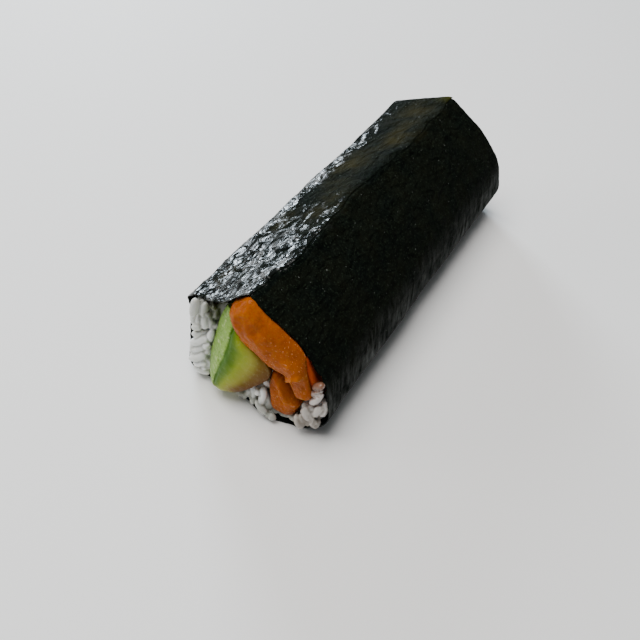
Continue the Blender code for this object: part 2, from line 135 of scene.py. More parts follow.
def roundedLoop(corners, steps):
    # clockwise loop with round corners; each entry holds
    # its point, outward way, corner number, share of the corner's arc and share of its side
    turns = cornerTurns(corners)
    loop = []
    for number, (place, arriving, leaving, turn, cut) in enumerate(turns):
        arcSteps, lineSteps = steps[number]
        heading = math.atan2(arriving.y, arriving.x)
        reach = math.copysign(corners[number][2], turn)
        centre = place - arriving * cut + Vector((-arriving.y, arriving.x)) * reach
        for step in range(arcSteps + 1):
            angle = heading + turn * step / arcSteps
            outward = Vector((-math.sin(angle), math.cos(angle)))
            loop.append((centre - outward * reach, outward, number, step / arcSteps, None))
        following = turns[(number + 1) % len(turns)]
        lineStart = place + leaving * cut
        lineEnd = following[0] - leaving * following[4]
        outward = Vector((-leaving.y, leaving.x))
        for step in range(1, lineSteps):
            share = step / lineSteps
            loop.append((lineStart.lerp(lineEnd, share), outward, number, None, share))
    return loop


def outlineDistances(outline, places):
    # distance from each place to a closed outline, negative inside it
    starts = np.array([tuple(point) for point in outline])
    ends = np.roll(starts, -1, axis=0)
    sides = ends - starts
    points = np.array([tuple(place) for place in places])[:, None, :]
    reach = ((points - starts) * sides).sum(axis=2) / (sides * sides).sum(axis=1)
    nearest = starts + sides * np.clip(reach, 0.0, 1.0)[:, :, None]
    distances = np.linalg.norm(points - nearest, axis=2).min(axis=1)
    spans = (starts[:, 1] > points[:, :, 1]) != (ends[:, 1] > points[:, :, 1])
    rise = np.where(sides[:, 1] == 0.0, 1.0, sides[:, 1])
    crossings = starts[:, 0] + sides[:, 0] * (points[:, :, 1] - starts[:, 1]) / rise
    inside = (spans & (points[:, :, 0] < crossings)).sum(axis=1) % 2 == 1
    return np.where(inside, -distances, distances)


# material helpers

def newMaterial(name):
    material = bpy.data.materials.new(name)
    material.use_nodes = True
    return material, material.node_tree, material.node_tree.nodes["Principled BSDF"]


def fillSockets(tree, node, values):
    # link what comes from another node, and set what is the same all over
    for socket, value in values.items():
        if isinstance(value, bpy.types.NodeSocket):
            tree.links.new(value, node.inputs[socket])
        else:
            node.inputs[socket].default_value = value


def addNode(tree, kind, values=None, **settings):
    made = tree.nodes.new(kind)
    for setting, value in settings.items():
        setattr(made, setting, value)
    fillSockets(tree, made, values or {})
    return made


def calc(tree, operation, first, second=0.0):
    return addNode(tree, "ShaderNodeMath", {0: first, 1: second}, operation=operation).outputs[0]


def times(tree, first, second):
    return calc(tree, "MULTIPLY", first, second)


def mixColours(tree, share, first, second):
    node = addNode(tree, "ShaderNodeMix", {0: share, 6: first, 7: second}, data_type="RGBA")
    return node.outputs[2]


def spread(tree, value, low, high, newLow=0.0, newHigh=1.0):
    node = addNode(tree, "ShaderNodeMapRange", {0: value, 1: low, 2: high, 3: newLow, 4: newHigh})
    return node.outputs[0]


def grainNoise(tree, vector, scale, detail=3.0, rough=0.5, distortion=0.0):
    values = {"Vector": vector, "Scale": scale, "Detail": detail, "Roughness": rough,
              "Distortion": distortion}
    return addNode(tree, "ShaderNodeTexNoise", values).outputs[0]


def readAttribute(tree, name):
    return addNode(tree, "ShaderNodeAttribute", attribute_name=name).outputs["Fac"]


def objectPlace(tree):
    return addNode(tree, "ShaderNodeTexCoord").outputs["Object"]


def addBump(tree, height, distance, strength=1.0, normal=None):
    values = {"Height": height, "Distance": distance, "Strength": strength}
    if normal is not None:
        values["Normal"] = normal
    return addNode(tree, "ShaderNodeBump", values).outputs[0]


# the sheet of seaweed

sheet = {
    "thickness": 0.26,
    "edgeThickness": 0.3,  # share of the thickness left at the cut edges
    "layerPitch": 0.46,
    "turns": 1.64,
    "restingLevel": -15.7,
    "rows": 172,
    # corner x, z and radius, clockwise from the ridge
    "corners": ((-2.0, 17.7, 3.0), (9.4, 11.4, 12), (17.9, 2.0, 13), (20.2, -8.6, 7),
                (14.0, -16.0, 5), (-19.8, -16.0, 4), (-19.2, 9.0, 2.0)),
    # columns on each corner's arc and on the side after it
    "columns": ((8, 20), (8, 14), (14, 8), (12, 7), (7, 24), (10, 26), (6, 40)),
    # share of the length, and how far the ridge lies to the right there
    "ridgeDrift": ((0.0, -1.7), (0.16, 0.3), (0.45, -0.9), (0.7, 1.0), (1.0, 0.9)),
    "ridgeWander": 0.9,
    "topSag": 1.1,
    "rightSwell": 0.2,
    "unevenness": 0.56,
    "seed": 7,
    "crumple": 0.34,
    "fineCrumple": 0.2,
    "ribRelief": 0.09,
    # x along the upper front edge, and how far it is set back there
    "upperRim": ((-19.6, -0.4), (-18.3, -0.9), (-17.2, -0.1), (-15.5, -0.1), (-13.0, -0.9),
                 (-10.5, -1.3), (-8.2, -1.4), (-7.2, -1.1), (-6.0, -0.5), (-4.2, 0.7),
                 (-2.5, 0.7), (-0.5, 0.3), (1.5, 0.0)),
    "lip": (5, 7, 2.3),  # under the rice: its middle, its half width and how far it stands out
    "leftRecess": 0.9,
    "edgeWave": 1.2,
    "edgeNicks": 0.22,
    "frontRags": 0.5,
    "backSetback": 0.9,
    "innerSetback": 2.4,  # the inner turn stays behind the rice at the open end
    "flapSink": 0.37,  # the free edge is pressed into the turn below it
    "flapTip": (0.7, 0.5),  # its far corner: the last row, then the rows before it
}
topSide, rightSide, underSide, leftSide = 6, 0, 4, 5
noise.seed_set(sheet["seed"])  # without it the bends of the crinkles differ from run to run


def topShare(side, arc, share):
    # share of the way over the top side, from the left shoulder to the ridge, or None off it
    if side == topSide:
        return 0.0 if share is None else share
    return 1.0 if side == rightSide and arc is not None else None


sheen = {
    "front": (16, 34),  # where along the roll it begins to fade, and over how far
    "shoulder": (68, 30),
    "shoulderLevels": (0.95, 0.7),  # at the open end, and what it loses
    "ridgeSpot": (31, 10),  # where its middle lies, and its reach
    "ridgeLevels": (0.9, 0.5),  # on the top side, and past the ridge
    "leftSide": 0.45,
    "topLeast": 0.06,
    "least": 0.04,
}


def glossAt(side, arc, share, along):
    # how damp and glossy the sheet is: the lapped top most, at its open end
    spotPlace, spotReach = sheen["ridgeSpot"]
    onTop, pastRidge = sheen["ridgeLevels"]
    ridgeSpot = math.exp(-((along - spotPlace) / spotReach) ** 2)
    across = topShare(side, arc, share)
    if across is not None:
        start, reach = sheen["front"]
        nearFront = 1.0 - ease((along - start) / reach)
        start, reach = sheen["shoulder"]
        level, loss = sheen["shoulderLevels"]
        shoulderBand = 1 - ease((across - 0.05) / 0.35)
        shoulderBand *= level - loss * ease((along - start) / reach)
        ridgeBand = onTop * ridgeSpot * ease((across - 0.45) / 0.3)
        gloss = max(nearFront, shoulderBand, ridgeBand, sheen["topLeast"])
        past = ease((arc - 0.15) / 0.75) if side == rightSide else 0.0
        return gloss + (max(pastRidge * ridgeSpot, sheen["least"]) - gloss) * past
    if side == leftSide:
        return sheen["leftSide"]
    if side == rightSide:
        return max(pastRidge * ridgeSpot * (1 - ease(share / 0.25)), sheen["least"])
    return sheen["least"]


olivePatches = (  # share of the top side, place along the roll, their reaches, strength
    (0.75, 40, 0.22, 9, 1.0),
    (0.45, 62, 0.3, 12, 0.8),
    (0.75, 78, 0.25, 11, 0.9),
    (0.6, 94, 0.35, 9, 0.7),
    (0.25, 33, 0.14, 5, 0.9),
    (0.22, 8, 0.1, 3, 0.9),
)


oliveElsewhere = 0.12


def oliveAt(side, arc, share, along):
    across = topShare(side, arc, share)
    if across is None:
        return oliveElsewhere
    return max(level * math.exp(-((across - place) / wide) ** 2 - ((along - far) / long) ** 2)
               for place, far, wide, long, level in olivePatches)


def ribbingAndSheenAt(point):
    # ribs across the roll show most on the low right flank, where a grey sheen is painted on them
    # too
    if point.x > 4:
        return ease((4 - point.y) / 12)
    return 0.15 * ease((4 - point.y) / 8)


def outerLoop(along):
    # the sheet's outer skin at a place along the roll: point, outward way, gloss, olive, and streak
    # with its painted sheen
    corners = list(sheet["corners"])
    drift = readTable(sheet["ridgeDrift"], along / rollLength)
    drift += sheet["ridgeWander"] * noise.noise(Vector((along / 7, 3, 5)))
    corners[0] = (corners[0][0] + drift, *corners[0][1:])
    softness = math.exp(-max(along, 0.0) / 14)
    loop = []
    for point, outward, side, arc, share in roundedLoop(corners, sheet["columns"]):
        middle = 0.0 if share is None else math.sin(math.pi * share)
        shift = 0.0
        if side == topSide:
            shift -= sheet["topSag"] * softness * middle
        if side == rightSide:
            shift += sheet["rightSwell"] * softness * middle
        spot = Vector((point.x, along, point.y))
        if side not in (underSide, leftSide):
            shift += sheet["unevenness"] * noise.noise(spot / 17)
        gloss, ribbingAndSheen = glossAt(side, arc, share, along), ribbingAndSheenAt(point)
        if side != underSide or arc is not None:
            bend = noise.noise_vector(spot / 9) * 3.0
            crease = noise.turbulence((spot + bend) / 6.5, 2, True)
            fine = noise.turbulence((spot + bend * 0.5) / 2.1, 2, True)
            crumple = sheet["crumple"] * (0.6 - crease) + sheet["fineCrumple"] * (0.5 - fine)
            shift += crumple * (0.2 + 0.8 * gloss)
            rib = noise.noise(Vector((point.x / 14, along / 1.9, point.y / 14)))
            shift += sheet["ribRelief"] * rib * ribbingAndSheen
        olive = oliveAt(side, arc, share, along)
        loop.append((point + outward * shift, outward, gloss, olive, ribbingAndSheen))
    return loop


def frontEdge(x, z):
    # how far the sheet's front edge is set back, or stands out when negative
    upper = readTable(sheet["upperRim"], x) * ease((z - 5) / 3)
    middle, wide, out = sheet["lip"]
    across = (x - middle) / wide
    lip = out * math.exp(-across * across) * ease((-6 - z) / 8)
    flank = ease((x - 16) / 2) * ease((3 - z) / 5) * ease((z + 15) / 4)
    recess = sheet["leftRecess"] * ease((-14 - x) / 4) * ease((12 - abs(z + 3)) / 8)
    return upper + recess - lip - flank


def edgeShift(x, z, along):
    # how far a point moves along the roll, so that the cut edges aren't straight
    fromEnd = min(along, rollLength - along)
    inFront = along < rollLength / 2
    shift = sheet["edgeWave"] * noise.noise(Vector((x, z, along)) / 22)
    nick = noise.noise(Vector((x / 1.4, z / 1.4, 0.0 if inFront else 3.0)))
    if inFront:
        ragged = sheet["frontRags"] * (ease(x / 3) * ease((z + 8) / 4))
        shift += frontEdge(x, z) + ragged * noise.noise(Vector((x / 2.1, z / 2.1, 8)))
    else:
        shift += sheet["backSetback"] * ease((x - 6) / 8)
    return shift * ease(1.0 - fromEnd / 12) + sheet["edgeNicks"] * nick * ease(1.0 - fromEnd / 2.5)


def makeSheet():
    # a spiral of columns, counted back from the free edge on the ridge
    columnCount = len(roundedLoop(sheet["corners"], sheet["columns"]))
    crest = sheet["columns"][0][0] // 2
    innerEnd = round(sheet["turns"] * columnCount)
    backs = list(range(columnCount + 1)) + list(range(columnCount + 3, innerEnd, 3))
    backs.reverse()  # from the inner end out to the free edge
    loops = []
    for row in range(sheet["rows"] + 1):
        loops.append(outerLoop(rollLength * row / sheet["rows"]))
    piece, cells = gridCells("nori_wrap", len(backs) - 1, sheet["rows"])
    points, gloss, olive, ribbingAndSheen, tip = [], [], [], [], []
    for column, row in cells:
        back = backs[column]
        along = rollLength * row / sheet["rows"]
        spot, outward, glossHere, oliveHere, ribbingAndSheenHere = loops[row][(crest - back) % columnCount]
        sink = sheet["flapSink"] * ease(1.0 - back / 8)
        place = spot - outward * (sheet["layerPitch"] * back / columnCount + sink)
        if outward.y < -0.999 and back < columnCount:  # the underside lies flat
            place.y = sheet["restingLevel"]
        place.y = max(place.y, sheet["restingLevel"])
        shift = edgeShift(place.x, place.y, along)
        if back >= columnCount:
            shift += sheet["innerSetback"] * ease((place.y - 2) / 4) * ease(1.0 - along / 10)
        if row > sheet["rows"] - 4:
            shift += sheet["flapTip"][0 if row == sheet["rows"] else 1] * ease(1.0 - back / 9)
        outer = 1.0 if back < columnCount else 0.0
        points.append((place.x, along + shift, place.y))
        gloss.append(glossHere * outer)
        olive.append(oliveHere * outer)
        ribbingAndSheen.append(ribbingAndSheenHere * outer)
        tip.append(outer * math.exp(-(back / 8) ** 2 - ((rollLength - along) / 2.6) ** 2))
    setPoints(piece, points)
    for name, values in (("gloss", gloss), ("olive", olive), ("ribbingAndSheen", ribbingAndSheen), ("tip", tip)):
        setAttribute(piece, name, values)
    tidyNormals(piece)
    # the cut edges are pressed thin
    thin = piece.vertex_groups.new(name="thin")
    thin.add(list(range(len(cells))), 1.0, "REPLACE")
    for number, (column, row) in enumerate(cells):
        fromEdge = min(backs[column] / 7, row / 3, (sheet["rows"] - row) / 3)
        if fromEdge < 1.0:
            thin.add([number], ease(fromEdge), "REPLACE")
    # the skin made so far is the outer side: the thickness goes inwards
    middle = piece.data.polygons[len(piece.data.polygons) // 2]
    axisSpot = toFrame((0, middle.center.y / mm - rollSeat.y, 0))
    outwards = middle.normal.dot(middle.center - axisSpot) > 0
    addModifier(piece, "SOLIDIFY", thickness=sheet["thickness"] * mm,
                offset=-1.0 if outwards else 1.0,
                vertex_group="thin", thickness_vertex_group=sheet["edgeThickness"])
    piece.vertex_groups.clear()
    tidyNormals(piece)
    return piece


noriFinish = {
    "dark": (0.0010, 0.0017, 0.0015, 1),
    "lighter": (0.0042, 0.0068, 0.0052, 1),
    "speck": (0.018, 0.028, 0.017, 1),
    # tiny pale specks: painted glints on the sheet
    "paintedGlint": (0.09, 0.10, 0.09, 1),
    "olive": (0.024, 0.0215, 0.008, 1),
    # grey sheen painted on the ribs of the low flank
    "ribPatternAndSheen": (0.17, 0.18, 0.175, 1),
    "tip": (0.036, 0.037, 0.006, 1),
    "sockets": {"Coat Roughness": 0.11, "Coat IOR": 1.55, "Specular IOR Level": 0.02},
}


def noriMaterial():
    material, tree, shader = newMaterial("noriSheet")
    place = objectPlace(tree)
    gloss, olive = readAttribute(tree, "gloss"), readAttribute(tree, "olive")
    ribbingAndSheen, tip = readAttribute(tree, "ribbingAndSheen"), readAttribute(tree, "tip")
    mottle = grainNoise(tree, place, 620, 7.0, 0.72, 0.4)
    speck = grainNoise(tree, place, 2300, 3.0, 0.6)
    cloud = grainNoise(tree, place, 150, 3.0, 0.55)
    # tiny specks of painted glint
    paintedGlint = grainNoise(tree, place, 1250, 1.0, 0.5)
    oliveShare = times(tree, olive, spread(tree, cloud, 0.35, 0.62, 0.15, 1.0))
    # fine ribs that run across the roll on its flank, with a grey sheen painted on them
    ribPlace = place
    for setting in ({"Rotation": (0.2, 0, 0)}, {"Scale": (210, 820, 170)}):
        ribPlace = addNode(tree, "ShaderNodeMapping", {"Vector": ribPlace, **setting}).outputs[0]
    ribPatternAndSheen = grainNoise(tree, ribPlace, 1.0, 4.0, 0.65, 0.5)
    # where the painted grey sheen lies on the ribs
    paintedRibSheen = times(tree, ribbingAndSheen, spread(tree, ribPatternAndSheen, 0.40, 0.74))
    paintedRibSheen = times(tree, paintedRibSheen, spread(tree, cloud, 0.35, 0.6, 0.35, 1.0))
    colour = noriFinish["dark"]
    for name, share in (("lighter", spread(tree, mottle, 0.36, 0.66)),
                        ("speck", spread(tree, speck, 0.56, 0.72)),
                        ("paintedGlint", spread(tree, paintedGlint, 0.755, 0.8)),
                        ("olive", oliveShare), ("ribPatternAndSheen", paintedRibSheen), ("tip", tip)):
        colour = mixColours(tree, share, colour, noriFinish[name])
    # crinkles in mm: small curved facets that catch the window light
    turned = {"Vector": place, "Scale": (1.0, 0.6, 1.0), "Rotation": (0, 0, 0.25)}
    crinklePlace = addNode(tree, "ShaderNodeMapping", turned).outputs[0]
    broad = grainNoise(tree, crinklePlace, 210, 1.0, 0.4, 1.0)
    small = grainNoise(tree, crinklePlace, 600, 0.6, 0.5, 0.9)
    relief = calc(tree, "ADD", times(tree, broad, 1.5), times(tree, small, 0.85))
    normal = addBump(tree, relief, 0.001)
    normal = addBump(tree, times(tree, ribPatternAndSheen, ribbingAndSheen), 0.0003, 1.0, normal)
    normal = addBump(tree, speck, 0.00007, 1.0, normal)
    # the damp lies in patches, where the gloss is high
    patches = grainNoise(tree, crinklePlace, 330, 2.5, 0.55, 1.2)
    wetness = calc(tree, "ADD", times(tree, gloss, 0.96),
                   times(tree, calc(tree, "SUBTRACT", patches, 0.535), 3.6))
    damp = times(tree, spread(tree, wetness, 0.42, 1.3), spread(tree, gloss, 0.05, 0.4, 0.01, 1.0))
    damp = calc(tree, "MAXIMUM", damp, spread(tree, speck, 0.68, 0.74, 0.0, 0.4))
    fillSockets(tree, shader, {"Base Color": colour, "Normal": normal, "Coat Normal": normal,
                               "Roughness": spread(tree, damp, 0.0, 1.0, 0.85, 0.45),
                               "Coat Weight": damp, **noriFinish["sockets"]})
    return material


noriWrap = makeSheet()
noriWrap.data.materials.append(noriMaterial())
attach(noriWrap, "root")
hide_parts("nori_wrap")
print("seaweed rolled:", len(noriWrap.data.polygons), "faces")


# fillings: a shaped front, straight sides through the roll and a cut far end

fillingBack = 103.2
# rings behind a filling's front: how far each is pulled back, and how near it comes to the section
frontRings = ((0.6, 0.25), (1.6, 0.7), (4.0, 1.0))


def sideCurve(loop, whole, start, finish, count):
    # points spread evenly on a loop of (key, point), from one key to another
    slack, tiny = 1e-6, 1e-9
    keyed = loop + [(key + whole, point) for key, point in loop]
    if finish <= start:
        finish += whole
    path = [point for key, point in keyed if start - slack <= key <= finish + slack]
    lengths = [0.0]
    for before, after in zip(path, path[1:]):
        lengths.append(lengths[-1] + (after - before).length)
    spots = []
    for step in range(count + 1):
        goal = lengths[-1] * step / count
        past = (number for number, reach in enumerate(lengths) if reach >= goal - tiny)
        leg = max(1, next(past, len(path) - 1))
        span = max(lengths[leg] - lengths[leg - 1], tiny)
        spots.append(path[leg - 1].lerp(path[leg], (goal - lengths[leg - 1]) / span))
    return spots


def sectionPatch(corners, splits, columns, rows):
    # fills a rounded outline with a grid of points
    # splits name the grid's four corners, as corner numbers with a share of the way to the next one
    whole = len(corners)
    loop = []
    for point, _, number, arc, share in roundedLoop(corners, [(12, 24)] * whole):
        loop.append((number + (0.5 * arc if arc is not None else 0.5 + 0.5 * share), point))
    topLeft, topRight, lowRight, lowLeft = splits
    top = sideCurve(loop, whole, topLeft, topRight, columns)
    right = sideCurve(loop, whole, topRight, lowRight, rows)
    low = sideCurve(loop, whole, lowRight, lowLeft, columns)[::-1]
    left = sideCurve(loop, whole, lowLeft, topLeft, rows)[::-1]
    patch = {}
    for column in range(columns + 1):
        for row in range(rows + 1):
            u, v = column / columns, row / rows
            spot = (top[column] * (1 - v) + low[column] * v
                    + left[row] * (1 - u) + right[row] * u)
            spot -= (top[0] * (1 - u) * (1 - v) + top[-1] * u * (1 - v)
                     + low[0] * (1 - u) * v + low[-1] * u * v)
            patch[column, row] = spot
    return patch, [point for _, point in loop]


def sectionKey(place):
    return round(place.x, 7), round(place.z, 7)


def makeFilling(name, columns, rows, frontPoint, backPoint, attributes):
    # the front, the back and the sides that join them, as one closed body
    front, cells = gridCells(name, columns, rows)
    setPoints(front, [frontPoint(column, row) for column, row in cells])
    for attribute, reader in attributes.items():
        setAttribute(front, attribute, [reader(column, row) for column, row in cells])
    pickOnly(front)
    bpy.ops.object.duplicate()
    back = bpy.context.object
    setPoints(back, [backPoint(column, row) for column, row in cells])
    section = {}
    for before, after in zip(front.data.vertices, back.data.vertices):
        section[sectionKey(before.co)] = after.co.copy()
    pickOnly(front)
    bpy.ops.object.mode_set(mode="EDIT")
    bpy.ops.mesh.select_mode(type="EDGE")
    for reach, _ in frontRings:
        bpy.ops.mesh.select_all(action="DESELECT")
        bpy.ops.mesh.select_non_manifold()
        bpy.ops.mesh.extrude_region_move(TRANSFORM_OT_translate={"value": (0, reach * mm, 0)})
    bpy.ops.object.mode_set(mode="OBJECT")
    # each ring behind the front comes nearer to the section that runs through the roll
    ring = (len(front.data.vertices) - len(cells)) // len(frontRings)
    for number, vertex in enumerate(list(front.data.vertices)[len(cells):]):
        goal = section[sectionKey(vertex.co)]
        share = frontRings[number // ring][1]
        vertex.co.x += (goal.x - vertex.co.x) * share
        vertex.co.z += (goal.z - vertex.co.z) * share
    back.select_set(True)
    bpy.ops.object.join()
    bpy.ops.object.mode_set(mode="EDIT")
    bpy.ops.mesh.select_all(action="DESELECT")
    bpy.ops.mesh.select_non_manifold()
    bpy.ops.mesh.bridge_edge_loops()
    bpy.ops.object.mode_set(mode="OBJECT")
    tidyNormals(front)
    return front


def edgeRounding(distance, radius, depth):
    # how far a soft edge falls back, a distance in from its outline
    share = min(max(distance / radius, 0.0), 1.0)
    return depth * (1.0 - math.sqrt(1.0 - (1.0 - share) ** 2))


def lineGlow(point, lines):
    # how near a point is to the nearest of some drawn lines
    best = 0.0
    for width, strength, path in lines:
        for start, end in zip(path, path[1:]):
            first, second = Vector(start), Vector(end)
            span = second - first
            reach = min(max((point - first).dot(span) / span.length_squared, 0.0), 1.0)
            gap = (point - first - span * reach).length
            best = max(best, strength * math.exp(-(gap / width) ** 2))
    return best


upperSalmon = {
    "corners": ((-5.9, 14.5, 2.2), (-2.5, 15.9, 2.2), (8.0, 8.2, 6.0), (12.8, -0.4, 1.8),
                (10.4, -4.4, 1.6), (5.2, 2.2, 4.0), (-6.7, 9.4, 2.6)),
    "splits": (6.25, 0.25, 3.25, 4.25),
    # it swells where it stands out of the roll
    "frontCorners": ((-6.9, 14.9, 2.2), (-3.0, 17.0, 2.2), (11.2, 9.4, 6.0), (15.4, -2.9, 1.8),
                     (11.3, -4.2, 1.6), (8.3, 1.2, 0.8), (4.2, 1.7, 2.5), (-3.4, 5.2, 4.0),
                     (-7.5, 11.4, 2.5)),
    "frontSplits": (8.25, 0.25, 3.25, 4.25),
    "cells": (26, 84),
    "front": -3.4,
    "soft": (2.9, 2.2),  # how far in its edge is rounded, and how far that falls back
    # raised folds, hollows and lines of fat, one with a painted highlight: how wide, how strong,
    # and their paths
    "folds": ((0.55, 0.75, ((9.0, 1.6), (10.8, 3.6), (13.4, 4.6))),
              (0.9, 0.35, ((-5.4, 12.4), (-2.6, 14.6))),
              (1.3, 0.35, ((-1.0, 10.4), (3.4, 7.4)))),
    "hollows": ((1.8, 0.9, ((11.4, -0.4), (12.8, 0.9))), (0.8, 0.12, ((-2.2, 8.6), (0.8, 11.8)))),
    "marblingAndGlint": ((0.35, 0.7, ((-6.4, 11.8), (-4.6, 13.4), (-2.4, 14.2))),
            (0.3, 0.45, ((-4.6, 14.6), (-2.4, 12.1), (-1.0, 9.2))),
            (0.3, 0.4, ((-1.0, 14.0), (1.6, 10.4), (1.4, 6.4))),
            (0.3, 0.4, ((3.4, 11.8), (5.6, 8.2), (5.2, 4.2))),
            (0.32, 0.5, ((8.0, 9.4), (9.2, 6.4), (8.4, 3.0))),
            # the strong line along the crease at the lower end: fat with a painted highlight on it
            (0.5, 1.4, ((8.8, 1.2), (10.6, 3.4), (13.6, 4.2))),
            (0.34, 0.9, ((9.2, 0.6), (10.4, -2.0), (12.0, -3.2), (14.4, -2.2)))),
}
lowerSalmon = {
    "corners": ((4.7, 1.8, 0.8), (9.8, -5.0, 1.2), (12.4, -6.2, 1.2), (10.5, -12.7, 2.6),
                (4.8, -12.5, 2.4), (3.8, -4.6, 4.0)),
    "splits": (0.0, 0.5, 3.25, 4.25),
    "cells": (22, 44),
    "front": -2.6,
    "soft": (2.4, 1.8),
    "folds": ((0.7, 0.35, ((7.4, -3.0), (9.0, -6.2))),),
    "hollows": ((0.7, 0.3, ((6.0, -4.0), (8.0, -7.6))),),
    "marblingAndGlint": ((0.34, 0.95, ((7.0, 0.0), (6.7, -3.4), (8.2, -6.0), (11.0, -7.4))),
            (0.3, 0.5, ((4.8, -8.6), (7.2, -9.8), (10.4, -9.8)))),
}
sideSalmon = {
    "corners": ((10.9, 5.6, 0.4), (12.0, 5.4, 0.4), (15.5, -0.4, 2.0), (16.0, -4.6, 0.6),
                (14.4, -4.4, 0.6), (13.9, -0.6, 1.5)),
    "splits": (0.25, 1.25, 3.25, 4.25),
    "frontCorners": ((10.2, 7.4, 0.4), (11.9, 7.3, 0.4), (15.9, -0.4, 2.0), (16.4, -4.6, 0.6),
                     (14.4, -4.4, 0.6), (13.6, -0.6, 1.5)),
    "cells": (8, 40),
    "front": -0.5,
    "soft": (0.8, 0.8),
    "folds": (),
    "hollows": (),
    "marblingAndGlint": ((0.25, 0.4, ((11.4, 3.6), (14.6, 1.6))), (0.25, 0.4, ((13.6, 0.4), (15.9, -1.6)))),
}


def noSetback(point):
    return 0.0


def upperSetback(point):
    # its top and its right side lean back into the roll
    climb = ease((point.y - 9) / 8)
    across = ease((0.6 * point.x + 0.8 * point.y - 9) / 5) * ease((point.y - 3) / 5)
    return max(1.8 * climb, 1.2 * across)


def readSection(strip, cornersName, splitsName):
    # a strip's grid of places, and how deep each lies inside the outline
    corners = strip.get(cornersName, strip["corners"])
    patch, outline = sectionPatch(corners, strip.get(splitsName, strip["splits"]), *strip["cells"])
    depths = -outlineDistances(outline, patch.values())
    return patch, {cell: max(depth, 0.0) for cell, depth in zip(patch, depths)}


def makeSalmon(name, strip, setback):
    columns, rows = strip["cells"]
    patch, depths = readSection(strip, "corners", "splits")
    frontPatch, frontDepths = readSection(strip, "frontCorners", "frontSplits")

    def marblingAndGlintAt(column, row):
        return lineGlow(frontPatch[column, row], strip["marblingAndGlint"])

    def frontPoint(column, row):
        spot, inside = frontPatch[column, row], frontDepths[column, row]
        lumps = 0.4 * noise.noise(Vector((spot.x, spot.y, 4)) / 3.4)
        lumps += 0.16 * noise.noise(Vector((spot.x, spot.y, 9)) / 0.9)
        lumps += 0.16 * marblingAndGlintAt(column, row)
        lumps += lineGlow(spot, strip["folds"]) - lineGlow(spot, strip["hollows"])
        along = strip["front"] + setback(spot) + edgeRounding(inside, *strip["soft"])
        return spot.x, along - lumps * ease(inside), spot.y

    def backPoint(column, row):
        spot, inside = patch[column, row], depths[column, row]
        lumps = 0.2 * noise.noise(Vector((spot.x, spot.y, 30)) / 2.6)
        along = fillingBack - edgeRounding(inside, 0.9, 0.6)
        return spot.x, along + lumps * ease(inside / 0.8), spot.y

    attributes = {"marblingAndGlint": marblingAndGlintAt, "down": lambda column, row: row / rows}
    return makeFilling(name, columns, rows, frontPoint, backPoint, attributes)


salmonFinish = {
    # light and dark flesh of each cut
    "salmonFlesh": ((0.375, 0.085, 0.0002, 1), (0.27, 0.055, 0.0002, 1)),
    # the side strip, in shade inside the roll: a darker, redder copy of the flesh as painted shade
    "salmonPaintedShade": ((0.46, 0.058, 0.001, 1), (0.33, 0.034, 0.001, 1)),
    "fibre": (0.42, 0.115, 0.001, 1),
    # lines of fat, and the painted highlight along the upper strip's end crease
    "marblingAndGlint": (0.42, 0.145, 0.014, 1),
    # pale specks: painted wet glints
    "paintedWetGlints": (0.70, 0.34, 0.17, 1),
    "sockets": {"Subsurface Weight": 0.25, "Subsurface Radius": (1.0, 0.25, 0.05),
                "Subsurface Scale": 0.0015, "Specular IOR Level": 0.05,
                "Coat Weight": 0.06, "Coat Roughness": 0.08},
}


def salmonMaterial(name):
    material, tree, shader = newMaterial(name)
    place = objectPlace(tree)
    cloud = grainNoise(tree, place, 240, 3.0, 0.5)
    fibre = grainNoise(tree, place, 1500, 4.0, 0.65)
    paintedWetGlints = grainNoise(tree, place, 1900, 1.5, 0.5)
    wet = grainNoise(tree, place, 900, 2.0, 0.5)
    # lines of fat, one of them a painted highlight
    marblingAndGlintShare = times(tree, readAttribute(tree, "marblingAndGlint"), spread(tree, fibre, 0.3, 0.6, 0.2, 0.6))
    # pale specks on the lower part of the cut: painted wet glints
    paintedGlintShare = times(tree, spread(tree, paintedWetGlints, 0.6, 0.72, 0.0, 0.4),
                      spread(tree, readAttribute(tree, "down"), 0.3, 0.5))
    flesh, deep = salmonFinish[name]
    colour = mixColours(tree, spread(tree, cloud, 0.35, 0.65), deep, flesh)
    for layer, share in (("fibre", spread(tree, fibre, 0.5, 0.8, 0.0, 0.25)),
                         ("marblingAndGlint", marblingAndGlintShare), ("paintedWetGlints", paintedGlintShare)):
        colour = mixColours(tree, share, colour, salmonFinish[layer])
    normal = addBump(tree, cloud, 0.0004)
    normal = addBump(tree, wet, 0.00022, 1.0, normal)
    fillSockets(tree, shader, {"Base Color": colour, "Normal": normal,
                               "Roughness": spread(tree, wet, 0.3, 0.7, 0.2, 0.42),
                               **salmonFinish["sockets"]})
    return material


# the side strip takes the painted shade copy of the flesh
salmonFlesh, salmonPaintedShade = salmonMaterial("salmonFlesh"), salmonMaterial("salmonPaintedShade")
for name, strip, setback, material in (
        ("salmon_upper", upperSalmon, upperSetback, salmonFlesh),
        ("salmon_lower", lowerSalmon, noSetback, salmonFlesh),
        ("salmon_side", sideSalmon, noSetback, salmonPaintedShade)):
    salmonStrip = makeSalmon(name, strip, setback)
    salmonStrip.data.materials.append(material)
    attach(salmonStrip, "root")
    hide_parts(name)
print("salmon strips cut")


